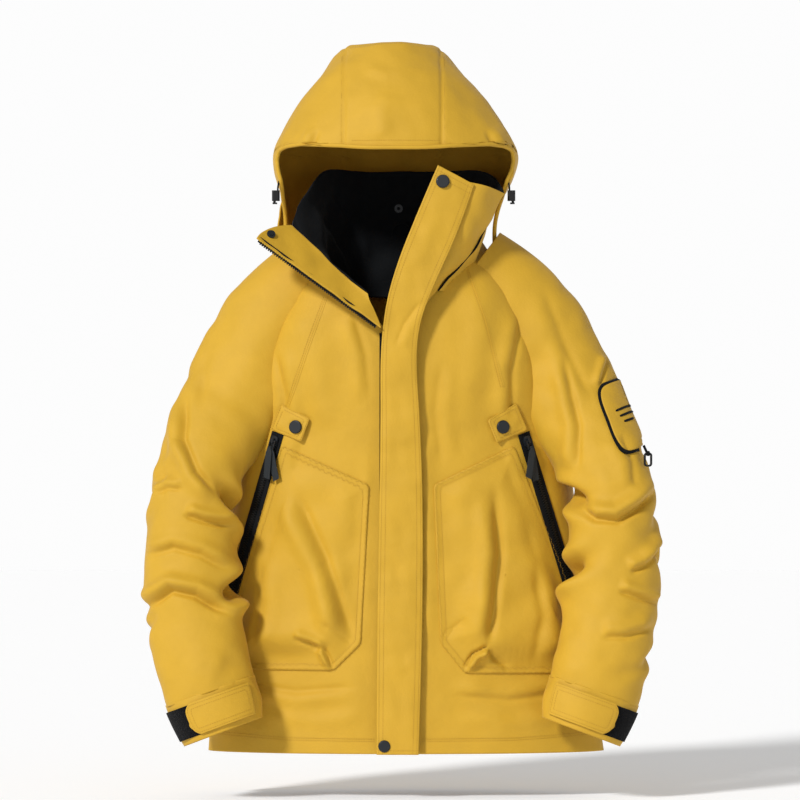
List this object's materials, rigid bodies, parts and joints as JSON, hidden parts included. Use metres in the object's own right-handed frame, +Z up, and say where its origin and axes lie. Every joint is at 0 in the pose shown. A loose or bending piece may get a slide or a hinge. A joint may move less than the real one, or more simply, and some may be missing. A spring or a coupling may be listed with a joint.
{
  "type": "ski jacket",
  "caption": "Hooded shell jacket hung by its neck loop, collar zip open, with storm flap, slanted chest-to-hip pockets, snap tabs and strapped cuffs.",
  "frame": {"origin": "top of the inside of the hanger loop, at the back of the neck, where a hook carries the jacket", "axes": "+Z up, -Y the way the front faces, +X towards the wearer's left side"},
  "size_m": [0.7261, 0.2858, 1.005],
  "materials": {
    "shell_fabric": "fine plain-weave face fabric, matt",
    "lining_fabric": "black tricot lining, matt",
    "zip_tape": "black woven tape",
    "moulded_black": "moulded acetal, satin",
    "dark_metal": "dark enamelled metal, satin",
    "hook_and_loop": "black loop pile",
    "cord": "black braided elastic cord"
  },
  "bodies": {
    "jacket": {"back_panel": "shell_fabric", "right_front_panel": "shell_fabric", "left_front_panel": "shell_fabric", "shoulder_yokes": "shell_fabric", "collar_shell": "shell_fabric", "collar_lining": "lining_fabric", "right_lapel": "shell_fabric", "left_collar_front": "shell_fabric", "front_zip_tape": "zip_tape", "front_zip_teeth": "moulded_black", "front_zip_box": "moulded_black", "storm_flap_collar": "shell_fabric", "storm_flap_seam": "shell_fabric", "right_pocket_zip_tape": "zip_tape", "left_pocket_zip_tape": "zip_tape", "right_pocket_zip_teeth": "moulded_black", "left_pocket_zip_teeth": "moulded_black", "right_pocket_panel": "shell_fabric", "left_pocket_panel": "shell_fabric", "pocket_snap_studs": "dark_metal", "hem_band": "shell_fabric", "collar_snap_cap": "dark_metal", "lapel_snap_stud": "dark_metal", "liner_snap_socket": "dark_metal", "hanger_loop": "zip_tape"},
    "flap": {"storm_flap": "shell_fabric", "hem_snap_cap": "dark_metal"},
    "front_slider": {"front_zip_slider": "dark_metal"},
    "front_pull": {"front_zip_pull": "dark_metal"},
    "hood": {"hood_centre_panel": "shell_fabric", "hood_left_panel": "shell_fabric", "hood_right_panel": "shell_fabric"},
    "right_sleeve": {"right_sleeve": "shell_fabric", "right_cuff": "shell_fabric", "right_cuff_loop_tape": "hook_and_loop"},
    "left_sleeve": {"left_sleeve": "shell_fabric", "left_cuff": "shell_fabric", "left_cuff_loop_tape": "hook_and_loop", "sleeve_badge_border": "lining_fabric", "sleeve_badge_face": "shell_fabric", "ring_webbing": "zip_tape"},
    "ring": {"clip_ring": "moulded_black"},
    "right_pocket_slider": {"right_pocket_slider": "dark_metal"},
    "right_pocket_pull": {"right_pocket_pull": "dark_metal", "right_pull_ribbon": "zip_tape"},
    "right_pocket_tab": {"right_pocket_tab": "shell_fabric", "right_pocket_snap_cap": "dark_metal"},
    "right_cuff_strap": {"right_cuff_strap": "shell_fabric"},
    "right_toggle": {"right_hood_cord": "cord", "right_cord_lock": "moulded_black"},
    "right_lock_button": {"right_lock_button": "moulded_black"},
    "left_pocket_slider": {"left_pocket_slider": "dark_metal"},
    "left_pocket_pull": {"left_pocket_pull": "dark_metal", "left_pull_ribbon": "zip_tape"},
    "left_pocket_tab": {"left_pocket_tab": "shell_fabric", "left_pocket_snap_cap": "dark_metal"},
    "left_cuff_strap": {"left_cuff_strap": "shell_fabric"},
    "left_toggle": {"left_hood_cord": "cord", "left_cord_lock": "moulded_black"},
    "left_lock_button": {"left_lock_button": "moulded_black"}
  },
  "joints": [
    {"name": "flap_swing", "type": "hinge", "parent": "jacket", "child": "flap", "pos_m": [0.023, -0.197, -0.45], "axis": [0, 0, 1], "range_deg": [0, 150]},
    {"name": "front_slider_slide", "type": "slide", "parent": "jacket", "child": "front_slider", "axis": [0, 0, -1], "range_m": [0, 0.55]},
    {"name": "front_pull_swing", "type": "hinge", "parent": "front_slider", "child": "front_pull", "pos_m": [-0.021, -0.1903, -0.171], "axis": [0, 1, 0], "range_deg": [-50, 50]},
    {"name": "hood_tilt", "type": "hinge", "parent": "jacket", "child": "hood", "pos_m": [0, 0.017, 0.002], "axis": [-1, 0, 0], "range_deg": [0, 35]},
    {"name": "right_sleeve_raise", "type": "hinge", "parent": "jacket", "child": "right_sleeve", "pos_m": [-0.2, -0.085, -0.05], "axis": [0, 1, 0], "range_deg": [0, 60]},
    {"name": "left_sleeve_raise", "type": "hinge", "parent": "jacket", "child": "left_sleeve", "pos_m": [0.2, -0.085, -0.05], "axis": [0, -1, 0], "range_deg": [0, 60]},
    {"name": "ring_swing", "type": "hinge", "parent": "left_sleeve", "child": "ring", "pos_m": [0.345, -0.183, -0.329], "axis": [-0.9684, -0.2496, 0], "range_deg": [0, 90]},
    {"name": "right_pocket_slider_slide", "type": "slide", "parent": "jacket", "child": "right_pocket_slider", "axis": [-0.2752, 0.1087, -0.9552], "range_m": [0, 0.215]},
    {"name": "right_pocket_pull_lift", "type": "hinge", "parent": "right_pocket_slider", "child": "right_pocket_pull", "pos_m": [-0.18223, -0.15699, -0.31143], "axis": [-0.7911, 0.5389, 0.2893], "range_deg": [0, 95]},
    {"name": "right_pocket_tab_lift", "type": "hinge", "parent": "jacket", "child": "right_pocket_tab", "pos_m": [-0.1864, -0.15116, -0.29596], "axis": [-0.3815, 0.1261, -0.9157], "range_deg": [0, 110]},
    {"name": "right_cuff_strap_lift", "type": "hinge", "parent": "right_sleeve", "child": "right_cuff_strap", "pos_m": [-0.21183, -0.23037, -0.6725], "axis": [-0.3308, 0.0501, 0.9424], "range_deg": [0, 100]},
    {"name": "right_toggle_swing", "type": "hinge", "parent": "hood", "child": "right_toggle", "pos_m": [-0.1736, -0.126, 0.057], "axis": [0, 1, 0], "range_deg": [0, 40]},
    {"name": "right_lock_button_press", "type": "slide", "parent": "right_toggle", "child": "right_lock_button", "axis": [0, 0, 1], "range_m": [0, 0.002], "stiffness_N_per_m": 300, "springref_m": -0.001},
    {"name": "left_pocket_slider_slide", "type": "slide", "parent": "jacket", "child": "left_pocket_slider", "axis": [0.2906, 0.0912, -0.9525], "range_m": [0, 0.215]},
    {"name": "left_pocket_pull_lift", "type": "hinge", "parent": "left_pocket_slider", "child": "left_pocket_pull", "pos_m": [0.17839, -0.15828, -0.31159], "axis": [-0.8046, -0.5154, -0.2948], "range_deg": [0, 95]},
    {"name": "left_pocket_tab_lift", "type": "hinge", "parent": "jacket", "child": "left_pocket_tab", "pos_m": [0.17836, -0.15546, -0.29597], "axis": [-0.3854, -0.1172, 0.9153], "range_deg": [0, 110]},
    {"name": "left_cuff_strap_lift", "type": "hinge", "parent": "left_sleeve", "child": "left_cuff_strap", "pos_m": [0.21183, -0.23037, -0.6725], "axis": [-0.3308, -0.0501, -0.9424], "range_deg": [0, 100]},
    {"name": "left_toggle_swing", "type": "hinge", "parent": "hood", "child": "left_toggle", "pos_m": [0.1496, -0.126, 0.057], "axis": [0, -1, 0], "range_deg": [0, 40]},
    {"name": "left_lock_button_press", "type": "slide", "parent": "left_toggle", "child": "left_lock_button", "axis": [0, 0, 1], "range_m": [0, 0.002], "stiffness_N_per_m": 300, "springref_m": -0.001}
  ]
}
